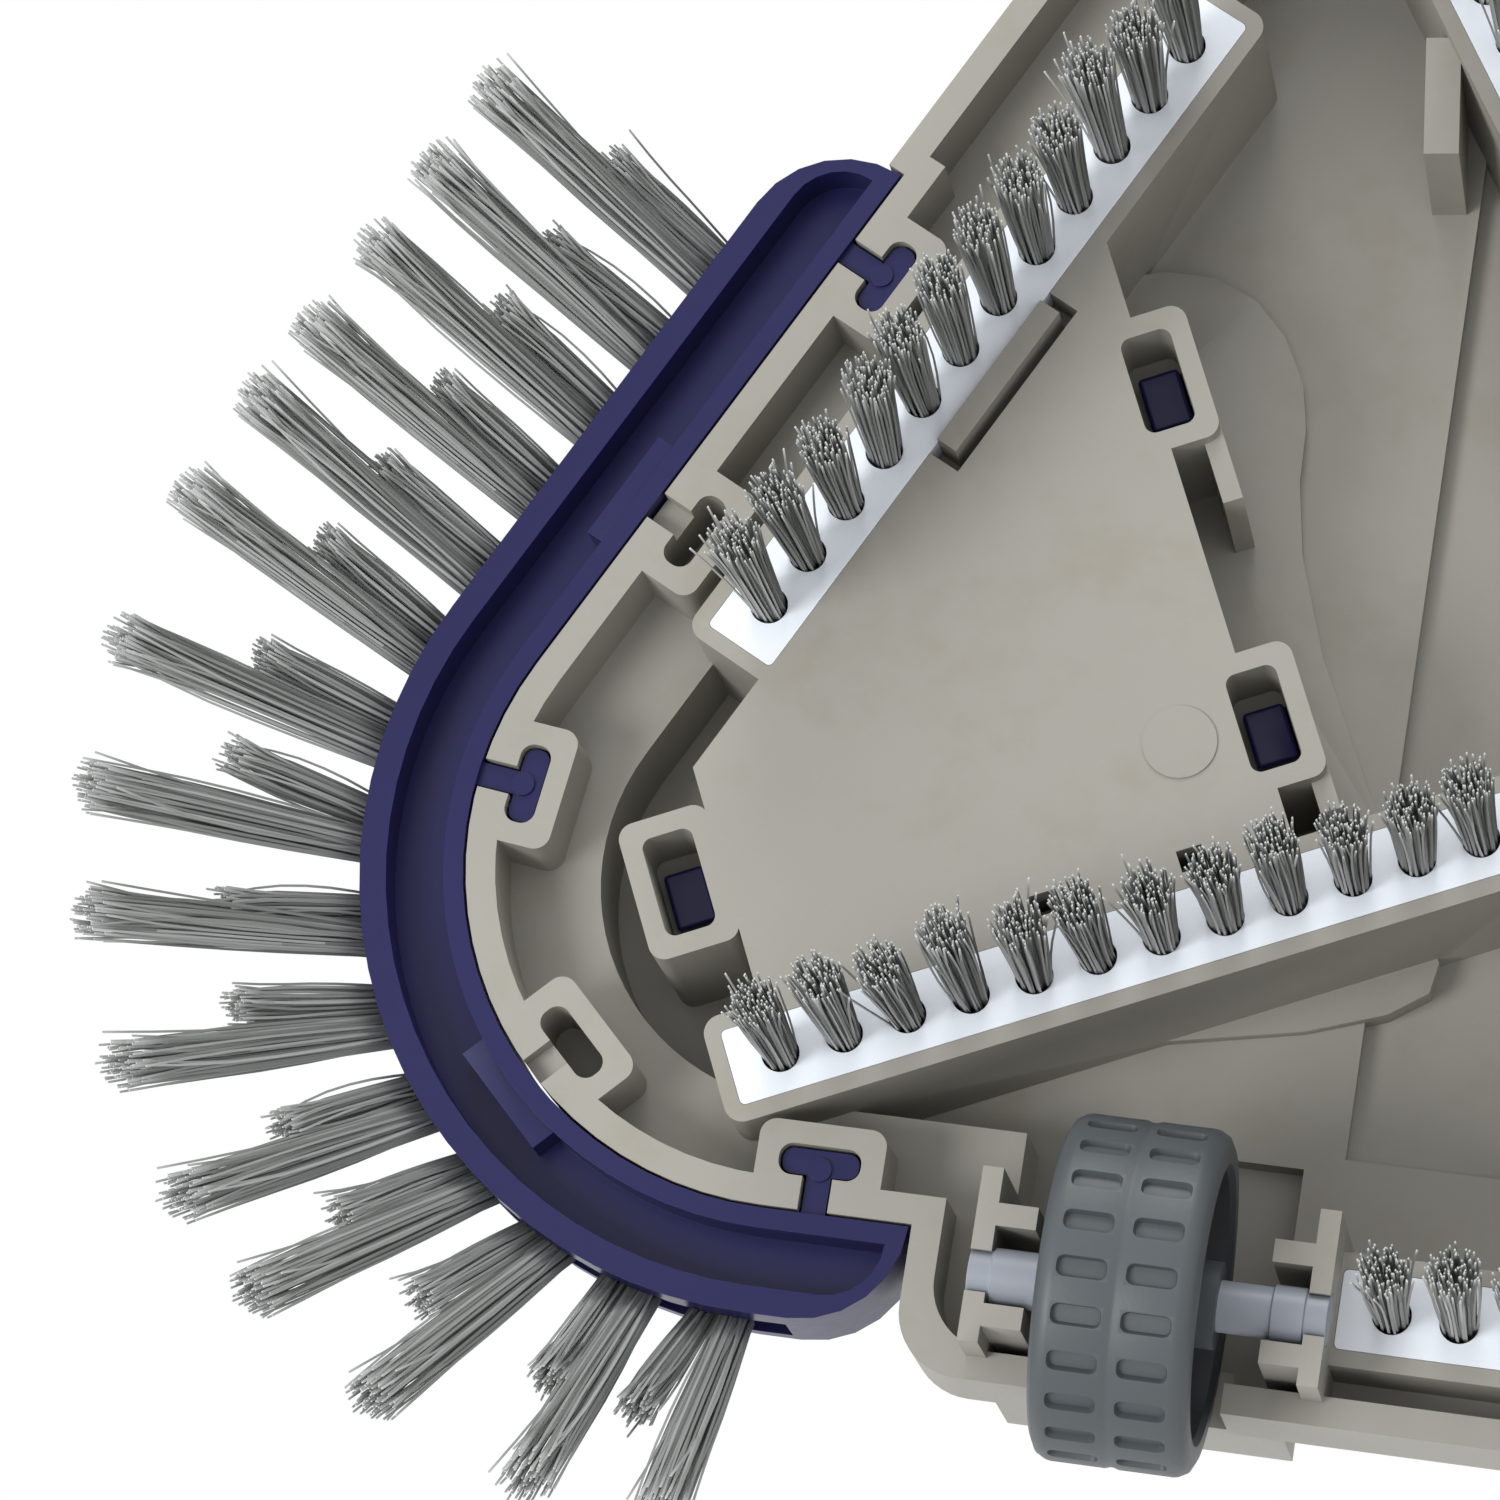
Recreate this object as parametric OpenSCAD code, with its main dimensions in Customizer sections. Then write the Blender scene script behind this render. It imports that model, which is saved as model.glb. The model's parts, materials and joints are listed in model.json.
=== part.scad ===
// Triangular vacuum head for pools: a stepped shell on three wheels, with bumpers
// round its corners, rows of bristles underneath, a swivelling hose cuff and a
// tilting handle. +Z is up, the pool floor is z = 0, and the nose points to -Y.

/* [Body] */
// Distance from the middle of the head to each rear corner's centre
half_base = 105.5; // [98:0.5:130]
// Distance from the hose axis back to the rear corners' centres
rear_set = 30; // [26:1:36]
// Angle between the rear edge and each side
base_angle = 62.5; // [60:0.5:65]
// Radius of the three corners, where the bumpers seat
corner_r = 38; // [34:1:46]
// Height of the rim and of the strip faces above the floor
rim_z = 24; // [20:0.5:29]
// Height of the outer deck above the rim
edge_h = 12; // [11:0.5:16]
// Rise of the middle deck above the outer deck
step_h = 12; // [9:0.5:15]
// Rise of the tunnel's roof above the middle deck
tunnel_h = 2; // [1:0.5:5]
// Thickness of the rim wall
rim_wall = 3.2; // [2.4:0.1:4]
// Thickness of the deck
deck_t = 2.6; // [2:0.1:3.4]
// Distance from the body's edge in to the middle deck
step_inset = 10.5; // [9:0.5:15]
// Width of the tunnel that runs from the nose to the hose port
tunnel_w = 100; // [90:1:104]
// How far the rear bar stands behind the bumpers' seat
rear_bar = 15.5; // [13:0.5:19]

/* [Bumpers] */
// Width of a bumper in plan
bumper_w = 11.3; // [9:0.1:14]
// Thickness of a bumper's walls
bumper_wall = 2.2; // [1.6:0.1:3]
// Length of a rear bumper's arm along the rear edge
arm_rear = 15.8; // [13:0.1:20]
// Length of a rear bumper's arm along the side
arm_side = 67; // [60:1:80]
// Length of the nose bumper's arms
arm_front = 38.5; // [32:0.5:46]
// Distance between a bumper's fixing lugs
lug_pitch = 35; // [30:0.5:38]
// Width of a lug's head
lug_head = 8.2; // [6:0.1:10]
// Gap round a bumper's lug and lip
lug_gap = 0.3; // [0.2:0.05:0.5]

/* [Side bristles] */
// Distance between two side tufts along a bumper
side_pitch = 10.4; // [8:0.1:13]
// How far the long side tufts stand out past a bumper
side_reach = 27; // [20:0.5:34]

/* [Brush strips] */
// Width of a strip
strip_w = 8.4; // [7:0.1:10]
// Thickness of a strip
strip_t = 4; // [3:0.1:5]
// Distance between tufts
tuft_pitch = 7; // [6.4:0.1:9]
// Diameter of a tuft where it leaves its strip
tuft_d = 4.1; // [3:0.1:5]
// Most tufts on one strip
tufts_max = 12; // [6:1:14]
// Angle of the inner strips from the rear edge
inner_angle = 24.7; // [20:0.1:28]
// How far an inner strip's line passes behind the hose axis
inner_shift = 2.6; // [0:0.1:4]
// Angle of the front strips from the rear edge
front_angle = 57.5; // [54:0.1:64]
// Distance from the bumper's seat in to a side strip's middle
side_inset = 17; // [15.5:0.5:19]

/* [Wheels] */
// Diameter of a wheel
wheel_d = 36; // [32:0.5:40]
// Width of a wheel
wheel_w = 16.5; // [13:0.5:20]
// Distance from the middle of the head to a rear wheel's middle
wheel_x = 64.5; // [62:0.5:72]
// Diameter of an axle
axle_d = 5.4; // [4.5:0.05:7]
// Radial running clearance of every turning fit
run_gap = 0.08; // [0.03:0.01:0.1]

/* [Weights] */
// Thickness of a cover's plate
cover_t = 2.4; // [2:0.1:3.4]
// Thickness of a ballast weight
weight_t = 10; // [6:0.5:13]
// Gap round a cover, a weight and a strip
seat_gap = 0.25; // [0.15:0.05:0.4]

/* [Hose cuff] */
// Outside diameter of the cuff that the hose pushes onto
cuff_d = 38; // [32:0.5:42]
// Wall of the cuff
cuff_wall = 2.6; // [2:0.1:3.4]
// Height of the cuff above its ring
cuff_h = 46; // [36:1:60]

/* [Handle] */
// Outside diameter of the plug that the pole fits over
plug_d = 28.4; // [24:0.1:31]
// Length of the plug
plug_len = 74; // [60:1:90]
// Wall of the plug
plug_wall = 2.6; // [2:0.1:3.2]
// Lean of the handle above the horizontal when it is laid back
lean = 30; // [24:1:40]
// Diameter of the pivot pin
pin_d = 6; // [5:0.1:8]
// Diameter of the spring buttons
button_d = 6.6; // [5:0.1:7.2]

/* [Hidden] */
$fn = 64;
eps = 0.01;          // overlap of two shapes that are joined
far = 400;           // longer than the whole head
arc_step = 5;        // degrees between the points of a corner

// ---- plan of the body: corners as [centre, first normal, turn] ----
side_normal = 270 - base_angle;
nose_y = rear_set - half_base * tan(base_angle);
corner_left = [[-half_base, rear_set], 90, side_normal - 90];
corner_front = [[0, nose_y], side_normal, 540 - 2 * side_normal];
corner_right = [[half_base, rear_set], 540 - side_normal, side_normal - 90];
rear_y = rear_set + corner_r + rear_bar;
outer_r = corner_r + lug_gap + bumper_w;

// ---- heights ----
edge_top = rim_z + edge_h;
step_top = edge_top + step_h;
roof_top = step_top + tunnel_h;
wheel_r = wheel_d / 2;
axle_r = axle_d / 2;

function unit(a) = [cos(a), sin(a)];
function ccw(a) = [-sin(a), cos(a)];
function arc_len(c, r) = c[2] * PI / 180 * r;
function arc_points(c, r) = let (n = ceil(c[2] / arc_step))
    [for (k = [0:n]) c[0] + r * unit(c[1] + c[2] * k / n)];
function outline(r) = [for (c = [corner_left, corner_front, corner_right]) each arc_points(c, r)];
// distance from the hose axis to a line along the left side at radius r
function side_dist(r) = corner_left[0] * unit(side_normal) + r;
// point and normal at a distance s round a corner of radius r, from the start of its arc
function spot(c, s, r) = s < 0 ? [c[0] + r * unit(c[1]) + s * ccw(c[1]), c[1]]
    : s <= arc_len(c, r) ? let (a = c[1] + s / r * 180 / PI) [c[0] + r * unit(a), a]
    : let (a = c[1] + c[2]) [c[0] + r * unit(a) + (s - arc_len(c, r)) * ccw(a), a];
function middle(c, arms, r) = (arc_len(c, r) + arms[1] - arms[0]) / 2;
arms_left = [arm_rear, arm_side];
arms_front = [arm_front, arm_front];

module at_spot(c, s, r = corner_r) {
    p = spot(c, s, r);
    translate(p[0]) rotate(p[1]) children();
}
module right_copy() { mirror([1, 0, 0]) children(); }

// ---- brush strips: [centre, direction, number of tufts] ----
strip_end = (strip_w - tuft_d) / 2 + tuft_d / 2 + 1.3;
port_r = cuff_d / 2 + 4;
boss_wall = 5.6;
strip_clear = port_r + boss_wall + 6;     // nearest that a strip comes to the hose axis
function tufts_in(room) = min(tufts_max, floor((room - 2 * strip_end) / tuft_pitch + 1 + eps));
function strip_len(n) = (n - 1) * tuft_pitch + 2 * strip_end;
// an inner strip starts beside the chamber and runs out to the rear corner
inner_gap = 19;
inner_dir = 180 - inner_angle;
inner_out = let (c = corner_left[0], m = c * unit(inner_dir))
    m + sqrt(m * m - c * c + corner_r * corner_r) - inner_gap;
inner_n = tufts_in(inner_out - strip_clear);
inner_mid = inner_out - strip_len(inner_n) / 2;
// a front strip runs out to the side
front_gap = 13;
front_dir = 180 + front_angle;
front_out = side_dist(corner_r) / cos(front_dir - side_normal) - front_gap;
front_n = tufts_in(front_out - strip_clear);
front_mid = front_out - strip_len(front_n) / 2;
// a side strip lies along the side
side_n = tufts_max;
side_along = 14 + strip_len(side_n) / 2;
side_mid = corner_left[0] + (corner_r - side_inset) * unit(side_normal)
    + side_along * ccw(side_normal);
// the rear strip lies between the wheels
bracket_t = 2.2;
bracket_gap = [6.75, 9.75];               // from a wheel to its outer and its inner bracket
function bracket_end(side) = wheel_w / 2 + bracket_gap[side] + bracket_t;
rear_n = tufts_in(2 * (wheel_x - bracket_end(1) - 0.2));
rear_mid = [0, rear_y - 12.5];
axle_y = rear_y - 10;
nose_wheel_y = nose_y + 23;

side_place = [side_mid, side_normal + 90, side_n];
inner_place = [inner_mid * unit(inner_dir) - inner_shift * ccw(inner_dir), inner_dir, inner_n];
front_place = [front_mid * unit(front_dir), front_dir, front_n];
rear_place = [rear_mid, 0, rear_n];
left_places = [side_place, inner_place, front_place];

module at_place(p) { translate(p[0]) rotate(p[1]) children(); }
module plate_shape(l, w, r) {
    square([l, w - 2 * r], center = true);
    square([l - 2 * r, w], center = true);
    for (x = [-1, 1], y = [-1, 1]) translate([x * (l / 2 - r), y * (w / 2 - r)]) circle(r);
}
channel_wall = 1.8;
strip_corner = 0.6;
module strip_slots(grow) {
    r = max(0.3, strip_corner + 0.8 * grow);
    for (side = [0, 1]) mirror([side, 0, 0]) for (p = left_places)
        at_place(p) plate_shape(strip_len(p[2]) + 2 * grow, strip_w + 2 * grow, r);
    at_place(rear_place) plate_shape(strip_len(rear_n) + 2 * grow, strip_w + 2 * grow, r);
}

// ---- weight bay, in a frame along the inner strip: x outward, y towards the side ----
bay_in = 63.2;
bay_out = inner_out - 6.5;
bay_low = 8;
hook = [5.6, 11.2];                       // inside of a hook shaft
hook_wall = 2.2;
hook_round = 1.2;
hook_ledge = 10;                          // height above the rim of the ledge that a toe catches
toe_h = 3.2;
leg_t = 3.2;
leg_w = 6.4;
side_dist_bay = side_dist(corner_r - side_inset - strip_w / 2 - channel_wall - 2);
bay_tilt = side_normal - inner_dir;       // angle of the side's normal in the bay's frame
function bay_edge(x, inset) =
    (side_dist_bay - inset - x * cos(bay_tilt)) / sin(bay_tilt) + inner_shift;
hooks = [
    [58.9, 19.6],
    [58.9, bay_edge(58.9, 0) - 15],
    [bay_out + 6.4, 21.3]
];
cover_low = bay_low - 0.6;
cover_out = hooks[2][0] + hook[0] / 2 + 1.6;
cover_in = hooks[0][0] - hook[0] / 2 - 1.6;
seat_rim = 1.6;
cover_floor = step_top - cover_t;
// shelf under the cover's edge, which bulges out beside the weight bay
shelf_t = 1.8;
shelf_edge = bay_edge(cover_in, 0);
shelf_points = [
    [cover_in + 24.5, -6], [cover_in + 10, -9.4], [cover_in + 1, -10.3], [cover_in - 4, -9.4],
    [cover_in - 6, -6.5], [cover_in - 4.4, 14], [cover_in - 4, 30],
    for (p = [[-5.2, -36], [-7.4, -27.6], [-9.8, -22], [-11, -17], [-10.7, -11], [-8.9, -6],
        [-5.5, -2], [-0.5, 0.4], [3.5, 1.2], [15, -18]]) [cover_in + p[0], shelf_edge + p[1]],
    [cover_in + 35, 5]
];

module in_bay() { rotate(inner_dir) translate([0, -inner_shift, 0]) children(); }
function bay_points(inset) = [
    [bay_in + inset, bay_low + inset],
    [bay_out - inset, bay_low + inset],
    [bay_out - inset, bay_edge(bay_out - inset, inset)],
    [bay_in + inset, bay_edge(bay_in + inset, inset)]
];
// outline of the cover, grown by g
function cover_points(g) = [
    [cover_in - g, cover_low - g],
    [bay_out + 1 + g, cover_low - g],
    [cover_out + g, hooks[2][1] - 8.2 - g],
    [cover_out + g, hooks[2][1] + 7 + g],
    [bay_out + 1 + g, bay_edge(bay_out + 1 + g, -1 - g)],
    [cover_in - g, bay_edge(cover_in - g, -1 - g)]
];

// ---- base shell ----
side_bulge = 2.1;
bulge_l = half_base / cos(base_angle) - arm_side - arm_front - 2 * lug_gap;
module edge_shape(inset) {
    polygon(outline(corner_r - inset));
    // bar behind the rear edge, between the two rear bumpers
    w = half_base - arm_rear - lug_gap - inset;
    r = 7;
    translate([-w + r, rear_set]) square([2 * (w - r), rear_y - rear_set - inset]);
    translate([-w, rear_set]) square([2 * w, rear_y - rear_set - inset - r]);
    for (x = [-1, 1]) translate([x * (w - r), rear_y - inset - r]) circle(r);
    // raised stretch of each side, between its two bumpers
    for (side = [0, 1]) mirror([side, 0, 0])
        at_spot(corner_left, arc_len(corner_left, corner_r) + arm_side + lug_gap)
            translate([-10, inset]) square([10 + side_bulge - inset, bulge_l - 2 * inset]);
}
arch_gap = 3;                             // room in front of a rear wheel
arch_w = wheel_w / 2 + 4.6;
arch_top = step_top + 1;
module arch(grow, low) {
    // hood in the deck over a rear wheel
    front = axle_y - wheel_r - arch_gap;
    translate([wheel_x - arch_w - grow, front - grow, low])
        cube([2 * (arch_w + grow), rear_y - rim_wall - front + 2 * grow, arch_top + grow - low]);
}
deck_bar = wheel_x + bracket_end(0) + 1;  // half the width of the middle deck over the rear bar
module deck_shape(inset) {
    polygon(outline(corner_r - step_inset - inset));
    r = 5;
    l = deck_bar - inset;
    translate([-l, rear_set - 20]) square([2 * l, rear_y - 4 - inset - r - rear_set + 20]);
    translate([-l + r, rear_set - 20]) square([2 * (l - r), rear_y - 4 - inset - rear_set + 20]);
    for (x = [-1, 1]) translate([x * (l - r), rear_y - 4 - inset - r]) circle(r);
}
// plan of the tunnel, cut off by the sides and the rear edge
function tunnel_points(inset) = let (
    r = corner_r - step_inset - 4 - inset, w = tunnel_w / 2 - inset,
    y = rear_set + (r - (half_base - w) * cos(side_normal)) / sin(side_normal)
) [[-w, rear_set + r], [-w, y], each arc_points(corner_front, r), [w, y], [w, rear_set + r]];
boss_r = port_r + boss_wall;
boss_top = roof_top + 9;
ledge_z = roof_top + 0.6;
ledge = 3.2;
ring_lip = 1.5;                           // how far the ring stands out past the boss

module envelope() {
    translate([0, 0, rim_z]) linear_extrude(edge_h) edge_shape(0);
    translate([0, 0, rim_z + 1]) linear_extrude(step_top - rim_z - 1) deck_shape(0);
    translate([0, 0, rim_z + 1]) linear_extrude(roof_top - rim_z - 1) polygon(tunnel_points(0));
    translate([0, 0, rim_z + 1]) cylinder(h = boss_top - rim_z - 1, r = boss_r);
    for (side = [0, 1]) mirror([side, 0, 0]) {
        arch(deck_t, edge_top - 1);
        translate([0, 0, edge_top - 1]) linear_extrude(step_top - edge_top + 1) in_bay()
            polygon(cover_points(seat_gap + seat_rim));
    }
}
module cavity() {
    translate([0, 0, rim_z - 1]) linear_extrude(edge_h - deck_t + 1) edge_shape(rim_wall);
    translate([0, 0, rim_z - 1]) linear_extrude(step_top - deck_t - rim_z + 1) deck_shape(deck_t);
    translate([0, 0, rim_z - 1]) linear_extrude(roof_top - deck_t - rim_z + 1)
        polygon(tunnel_points(deck_t));
}
slot_wall = 2.4;
lug_t = 2.8;                              // thickness of a lug's head
lug_neck = 3.6;                           // length of a lug's neck, and of the wall it passes
lug_stem = 2.6;
lug_round = 1.2;                          // rounding of a lug's head
module lug_block() {
    w = lug_head + 2 * (lug_gap + slot_wall);
    d = lug_neck + lug_t + 2 * lug_gap + slot_wall;
    translate([0, 0, rim_z - 1]) linear_extrude(far) plate_shape(2 * d, w, lug_round + 0.6);
}
module lug_shape(grow) {
    translate([-lug_neck - lug_gap - lug_t / 2, 0])
        plate_shape(lug_t + 2 * grow, lug_head + 2 * grow, lug_round + grow);
}
module lug_slot(stem_deep) {
    translate([0, 0, rim_z - 2]) linear_extrude(edge_h) lug_shape(lug_gap);
    translate([-lug_neck - lug_gap, -lug_stem / 2 - lug_gap, rim_z - 2])
        cube([lug_neck + 2, lug_stem + 2 * lug_gap, stem_deep + 2]);
}
module each_lug(turns = [-2:2]) {
    for (side = [0, 1]) mirror([side, 0, 0]) for (k = turns)
        at_spot(corner_left, middle(corner_left, arms_left, corner_r) + k * lug_pitch) children();
    for (k = turns)
        at_spot(corner_front, middle(corner_front, arms_front, corner_r) + k * lug_pitch) children();
}
bracket_low = wheel_r - 2.4;              // the brackets stand below the rim, over the axles
prong = [4.2, 2.4];
collar_t = 0.3;                           // an axle's collars beside its brackets
prong_at = [-axle_r - 3.4, axle_r + collar_t + 1.5];
// a bracket's plates and cut are drawn round a wheel's middle, with +x outward
module brackets(y, room, top) {
    // a plate each side of a wheel, with two prongs beside the axle
    h = top - bracket_low;
    for (side = [0, 1]) mirror([side, 0, 0])
        translate([wheel_w / 2 + bracket_gap[side], y, bracket_low]) {
            translate([0, -11, 0]) cube([bracket_t, 11 + room, h]);
            for (p = prong_at) translate([-prong[0], p - prong[1] / 2, 0]) cube([prong[0] + 1, prong[1], h]);
        }
}
module axle_cut(y) {
    from = -bracket_end(1) - 1;
    l = bracket_end(0) + 1 - from;
    translate([from, y, wheel_r]) rotate([0, 90, 0]) cylinder(h = l, r = axle_r + run_gap);
    translate([from, y - axle_r + 0.5, bracket_low - 1]) cube([l, axle_d - 1, 3.4]);
}
module each_rear_wheel() { for (side = [0, 1]) mirror([side, 0, 0]) translate([wheel_x, 0, 0]) children(); }
snap_l = 19;
snap_w = 2.6;
module at_snap() { at_place(side_place) translate([-3.9, strip_w / 2, rim_z]) children(); }
module snap_bar() {
    // sprung bar along a side strip
    at_snap() translate([-snap_l / 2, 0, -1.2]) cube([snap_l, snap_w, 4]);
}
module snap_cut() {
    // slot behind the bar and round its ends
    at_snap() translate([-snap_l / 2 - 1.5, -0.5, -1.5]) difference() {
        cube([snap_l + 3, snap_w + 1.7, 6]);
        translate([1.5, -1, -1]) cube([snap_l, snap_w + 1.5, 8]);
    }
}
module bay_features() {
    translate([0, 0, rim_z]) linear_extrude(far) {
        polygon([
            [hooks[0][0] + 0.8, 0], [bay_out + 1.6, 0], [bay_out + 1.6, bay_edge(bay_out + 1.6, -4)],
            [hooks[0][0] + 0.8, bay_edge(hooks[0][0] + 0.8, -4)]
        ]);
        for (h = hooks) translate(h)
            plate_shape(hook[0] + 2 * hook_wall, hook[1] + 2 * hook_wall, hook_round + 0.6);
    }
    // ribs that carry on from two of the shafts
    translate([0, 0, rim_z + 2]) linear_extrude(far) for (r = [[hooks[0], 5.5], [hooks[1], 9]])
        translate([r[0][0] - hook[0] / 2 - hook_wall, r[0][1] - hook[1] / 2 - hook_wall - r[1] + 2])
            square([hook_wall, r[1]]);
    translate([0, 0, cover_floor - shelf_t]) linear_extrude(far) polygon(shelf_points);
}
module bay_mark() {
    // round mark of the mould, just proud of the rim
    in_bay() translate([hooks[0][0] + 9.2, hooks[0][1] + 0.2, rim_z - 0.2]) cylinder(h = 1, r = 4);
}
module bay_cuts() {
    translate([0, 0, rim_z + deck_t]) linear_extrude(far) polygon(bay_points(0));
    translate([0, 0, cover_floor]) linear_extrude(far) polygon(cover_points(seat_gap));
    // a shaft for each of the cover's legs, wider below so that the toe catches
    for (h = hooks) translate([h[0], h[1], rim_z - 1]) {
        linear_extrude(hook_ledge + 1) plate_shape(hook[0], hook[1], hook_round);
        translate([-hook[0] / 2, -leg_w / 2 - seat_gap, 0])
            cube([leg_t + 2 * seat_gap, leg_w + 2 * seat_gap, far]);
    }
    // notches beside the inner strip
    for (x = [hooks[0][0] + 10.2, hooks[0][0] + 26.6])
        translate([x, strip_w / 2 + channel_wall, rim_z - 1]) cube([2.8, 2.4, 7]);
}
stay = [3.8, 13.4];                       // rib that stands beside a front strip
module stay_rib() { translate([-tunnel_w / 2 - 1.4, nose_y + 109.4, rim_z + 2]) rotate(-6.4)
    linear_extrude(far) square(stay, center = true); }
bracket_plate = [56, 22, 3];
pivot_y = boss_r + ring_lip + 1 + bracket_plate[1] / 2;
screw_at = [23.5, 7];
screw_r = 1.5;
module each_screw() {
    for (x = [-1, 1], y = [-1, 1]) translate([x * screw_at[0], pivot_y + y * screw_at[1], 0]) children();
}
ring_screw_r = (port_r + boss_r) / 2;
module each_ring_screw() { for (k = [0:2]) rotate(60 + 120 * k) translate([ring_screw_r, 0, 0]) children(); }
wheel_notch_in = wheel_w / 2 + 1.6;

module base_shell() color([0.60, 0.58, 0.54]) difference() {
    union() {
        difference() {
            envelope();
            difference() {
                cavity();
                // what stands down from the deck inside the shell
                linear_extrude(far) strip_slots(channel_wall);
                each_lug() lug_block();
                for (side = [0, 1]) mirror([side, 0, 0]) {
                    in_bay() bay_features();
                    stay_rib();
                }
                translate([0, 0, roof_top - 10]) cylinder(h = far, r = boss_r);
                each_screw() translate([0, 0, roof_top - 10]) cylinder(h = far, r = screw_r + 2.5);
            }
        }
        each_rear_wheel() brackets(axle_y, 7.5, step_top - 1);
        brackets(nose_wheel_y, 11, roof_top - 1);
        for (side = [0, 1]) mirror([side, 0, 0]) {
            snap_bar();
            bay_mark();
        }
    }
    // brush strips' slots, bumper lugs' slots, weight bays and wheel openings
    translate([0, 0, rim_z - 3]) linear_extrude(strip_t + 3) strip_slots(seat_gap / 5);
    translate([0, 0, rim_z + 1]) linear_extrude(step_top - deck_t - rim_z - 1) strip_slots(-1.6);
    each_lug([-2, 0, 2]) lug_slot(edge_h - 2);
    each_lug([-1, 1]) lug_slot(2.2);
    for (side = [0, 1]) mirror([side, 0, 0]) {
        in_bay() bay_cuts();
        snap_cut();
        arch(0, step_top - deck_t - 1);
        translate([wheel_x - wheel_notch_in, axle_y - wheel_r - 1.6, rim_z - 8])
            cube([2 * wheel_notch_in, far, wheel_d - rim_z + 9]);
    }
    translate([-wheel_notch_in, nose_wheel_y - wheel_r - 1.6, rim_z - 8])
        cube([2 * wheel_notch_in, wheel_d + 3.2, wheel_d - rim_z + 9]);
    each_rear_wheel() axle_cut(axle_y);
    axle_cut(nose_wheel_y);
    // hose port
    cylinder(h = far, r = port_r - ledge);
    translate([0, 0, ledge_z]) cylinder(h = far, r = port_r);
    seal_ring(0);
    each_screw() translate([0, 0, roof_top - screw_deep]) cylinder(h = far, r = screw_r);
    each_ring_screw() translate([0, 0, boss_top - screw_deep]) cylinder(h = far, r = screw_r);
}

// ---- bumpers ----
bumper_in = corner_r + lug_gap;
trough_deep = 5.2;
outer_wall = bumper_wall + 0.7;
lug_low = rim_z + 0.9;
lug_h = edge_h - 2 - (lug_low - rim_z);   // a lug's top rests on the end of its slot
snap_tab = [2.2, 13];
band_set = bumper_wall / 2;               // depth of the bristle band's groove
band_out = 1.6;                           // how far the band stands out of the bumper
band_z = [rim_z + 4, rim_z + 10];
function reversed(l) = [for (k = [len(l) - 1:-1:0]) l[k]];
function nose_points(o, out, along, w) = [for (t = [0:15:90]) o + w * (cos(t) * out + sin(t) * along)];
// plan of a bumper w wide round a corner, its ends rounded in to the lip
function bumper_points(c, arms, r, w) = let (a = c[1], b = c[1] + c[2]) [
    each reversed(nose_points(c[0] + r * unit(a) - (arms[0] - w) * ccw(a), unit(a), -ccw(a), w)),
    each arc_points(c, r + w),
    each nose_points(c[0] + r * unit(b) + (arms[1] - w) * ccw(b), unit(b), ccw(b), w),
    each reversed(arc_points(c, r))
];
// plan of the band that holds the side bristles, between two radii
function band_points(c, arms, r1, r2) = let (a = c[1], b = c[1] + c[2]) [
    c[0] + r2 * unit(a) - arms[0] * ccw(a), each arc_points(c, r2), c[0] + r2 * unit(b) + arms[1] * ccw(b),
    c[0] + r1 * unit(b) + arms[1] * ccw(b), each reversed(arc_points(c, r1)),
    c[0] + r1 * unit(a) - arms[0] * ccw(a)
];
function band_arms(arms) = [for (a = arms) a - bumper_w - 0.6];

module bumper(c, arms) color([0.10, 0.11, 0.33]) difference() {
    mid = middle(c, arms, corner_r);
    union() {
        translate([0, 0, rim_z]) linear_extrude(edge_h)
            polygon(bumper_points(c, arms, bumper_in, bumper_w));
        for (k = [-2, 0, 2]) at_spot(c, mid + k * lug_pitch) {
            translate([-lug_neck - lug_gap, -lug_stem / 2, lug_low])
                cube([lug_neck + 2 * lug_gap + 0.8, lug_stem, lug_h]);
            translate([0, 0, lug_low]) linear_extrude(lug_h) lug_shape(0);
            translate([-lug_neck - lug_gap - 0.7, 0, lug_low - 0.35]) cylinder(h = 1, r = lug_stem / 2);
        }
    }
    difference() {
        translate([0, 0, rim_z - 1]) linear_extrude(trough_deep + 1)
            polygon(bumper_points(c, [arms[0] - bumper_wall, arms[1] - bumper_wall],
                bumper_in + bumper_wall, bumper_w - bumper_wall - outer_wall));
        // thicker lip where the bumper snaps to the rim
        for (k = [-1, 1]) at_spot(c, mid + k * lug_pitch)
            translate([0, -snap_tab[1] / 2, rim_z + 0.9])
                cube([lug_gap + bumper_wall + snap_tab[0], snap_tab[1], far]);
    }
    translate([0, 0, band_z[0]]) linear_extrude(band_z[1] - band_z[0])
        polygon(band_points(c, band_arms(arms), outer_r - band_set, outer_r + 10));
}
module bumper_left() { bumper(corner_left, arms_left); }
module bumper_right() { right_copy() bumper_left(); }
module bumper_front() { bumper(corner_front, arms_front); }

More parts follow.
